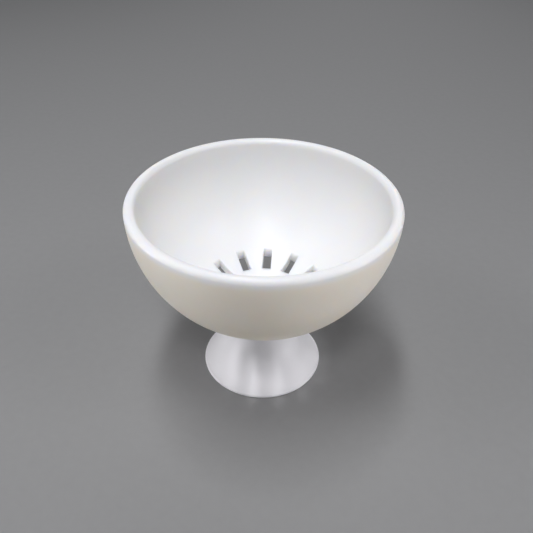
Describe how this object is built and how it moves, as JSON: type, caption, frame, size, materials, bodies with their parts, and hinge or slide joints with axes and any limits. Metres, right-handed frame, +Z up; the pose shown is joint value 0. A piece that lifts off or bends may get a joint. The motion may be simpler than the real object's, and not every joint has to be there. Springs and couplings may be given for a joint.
{
  "type": "flower frog",
  "caption": "Round white plastic bowl with radial stem slots in its floor, plugged into a hollow trumpet foot that it lifts straight off.",
  "frame": {"origin": "centre of the ring on which the foot stands, at table height", "axes": "+Z up along the axis of the bowl and foot, +Y through the middle of one stem slot"},
  "size_m": [0.1, 0.1, 0.0805],
  "materials": {
    "bowl_plastic": "white translucent moulded plastic, satin",
    "foot_plastic": "white moulded plastic, satin"
  },
  "bodies": {
    "foot": {"foot": "foot_plastic"},
    "bowl": {"bowl": "bowl_plastic"}
  },
  "joints": [
    {"name": "bowl_lift", "type": "slide", "parent": "foot", "child": "bowl", "axis": [0, 0, 1], "range_m": [0, 0.03]}
  ]
}
